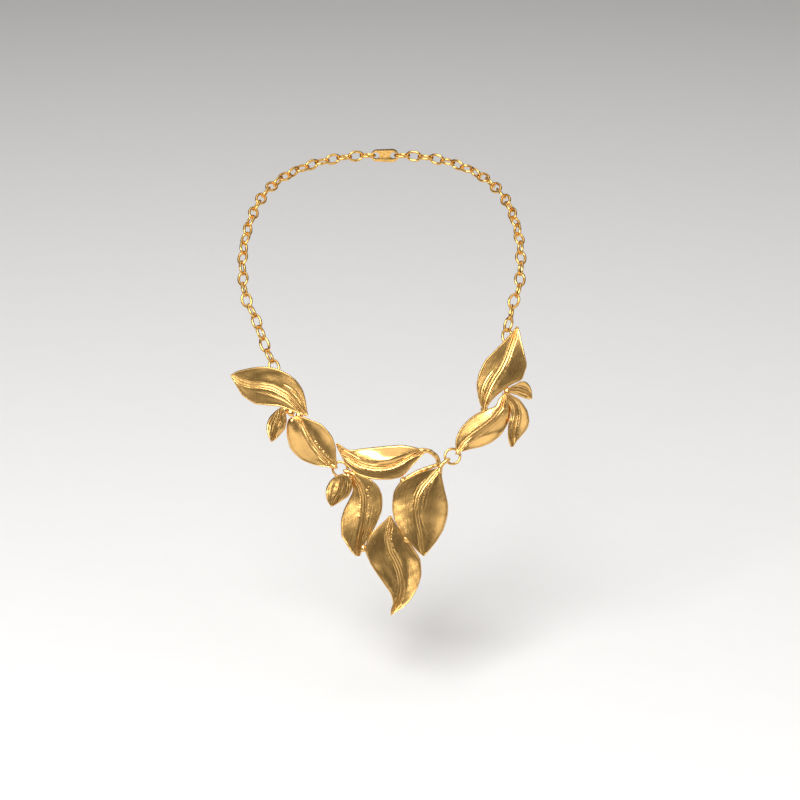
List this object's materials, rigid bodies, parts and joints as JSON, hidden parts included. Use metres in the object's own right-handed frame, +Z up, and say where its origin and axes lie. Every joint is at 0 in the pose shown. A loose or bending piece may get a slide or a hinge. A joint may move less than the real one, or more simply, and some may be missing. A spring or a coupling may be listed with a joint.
{
  "type": "bib necklace",
  "caption": "Gold-plated bib necklace of cast leaves in linked castings, on an oval cable chain with a hidden clasp.",
  "frame": {"origin": "middle of the wearer's neck, at the height where the chain lies on the shoulders (mount neck)", "axes": "+Z up, -Y out of the chest towards the viewer, +X to the wearer's left, the right of the picture"},
  "size_m": [0.1457, 0.1695, 0.185],
  "materials": {
    "cast_gold_plate": "satin yellow gold plate over cast brass, brushed, with bright rims",
    "chain_gold_plate": "polished yellow gold plate over brass wire"
  },
  "bodies": {
    "root": {"centre_bib": "cast_gold_plate", "left_leaf_link": "cast_gold_plate", "right_leaf_link": "cast_gold_plate", "left_jump_ring": "chain_gold_plate", "right_jump_ring": "chain_gold_plate", "left_chain": "chain_gold_plate", "right_chain": "chain_gold_plate", "clasp": "chain_gold_plate"}
  },
  "joints": []
}
